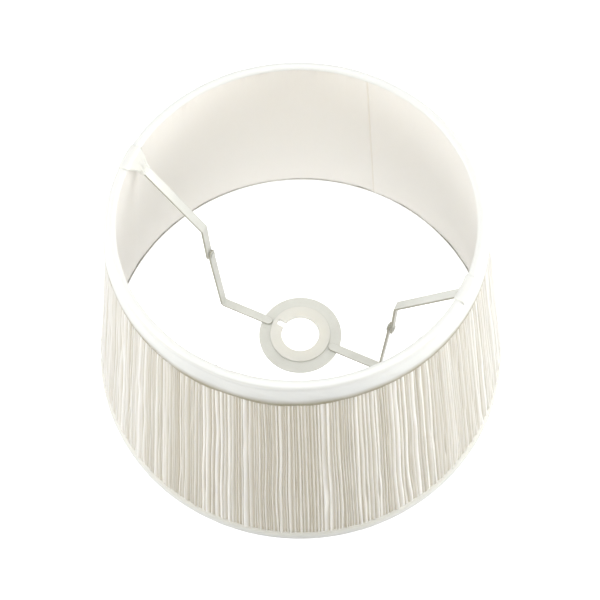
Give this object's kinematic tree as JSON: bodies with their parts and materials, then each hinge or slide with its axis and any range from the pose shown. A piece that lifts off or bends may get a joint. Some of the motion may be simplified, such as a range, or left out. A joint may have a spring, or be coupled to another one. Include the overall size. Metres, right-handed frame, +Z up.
{
  "type": "lamp shade",
  "caption": "Lined, finely pleated fabric drum shade that tapers to the top, with bound rims and a swinging gimbal that carries a ring and a plastic reducer for the lampholder.",
  "frame": {"origin": "centre of the circle that the bottom rim stands on", "axes": "+Z up the shade's axis, from the wide rim to the narrow one; +X along the gimbal's pivot axis, towards one arm"},
  "size_m": [0.305, 0.305, 0.1879],
  "materials": {
    "pleated_silk": "fine crushed pleats with a soft sheen",
    "lining_satin": "smooth stretched lining, satin",
    "trim_silk": "folded fabric binding",
    "gusset_silk": "folded fabric patch",
    "coated_wire": "plastic-coated steel wire",
    "white_enamel": "off-white satin enamel",
    "reducer_plastic": "slightly translucent off-white plastic"
  },
  "bodies": {
    "shade": {"top_ring": "coated_wire", "bottom_ring": "coated_wire", "strut_right": "coated_wire", "strut_back": "coated_wire", "strut_left": "coated_wire", "strut_front": "coated_wire", "pleated_cover": "pleated_silk", "lining": "lining_satin", "top_trim": "trim_silk", "bottom_trim": "trim_silk", "arm_gusset_right": "gusset_silk", "arm_gusset_left": "gusset_silk", "outer_arm_right": "white_enamel", "outer_arm_left": "white_enamel", "rivet_right": "white_enamel", "rivet_left": "white_enamel"},
    "gimbal": {"gimbal_arm_right": "white_enamel", "gimbal_arm_left": "white_enamel", "fitter_ring": "white_enamel"},
    "reducer": {"reducer_ring": "reducer_plastic"}
  },
  "joints": [
    {"name": "gimbal_swing", "type": "hinge", "parent": "shade", "child": "gimbal", "pos_m": [0, 0, 0.0825], "axis": [1, 0, 0], "range_deg": [-180, 180]},
    {"name": "reducer_lift", "type": "slide", "parent": "gimbal", "child": "reducer", "axis": [0, 0, 1], "range_m": [0, 0.03]}
  ]
}
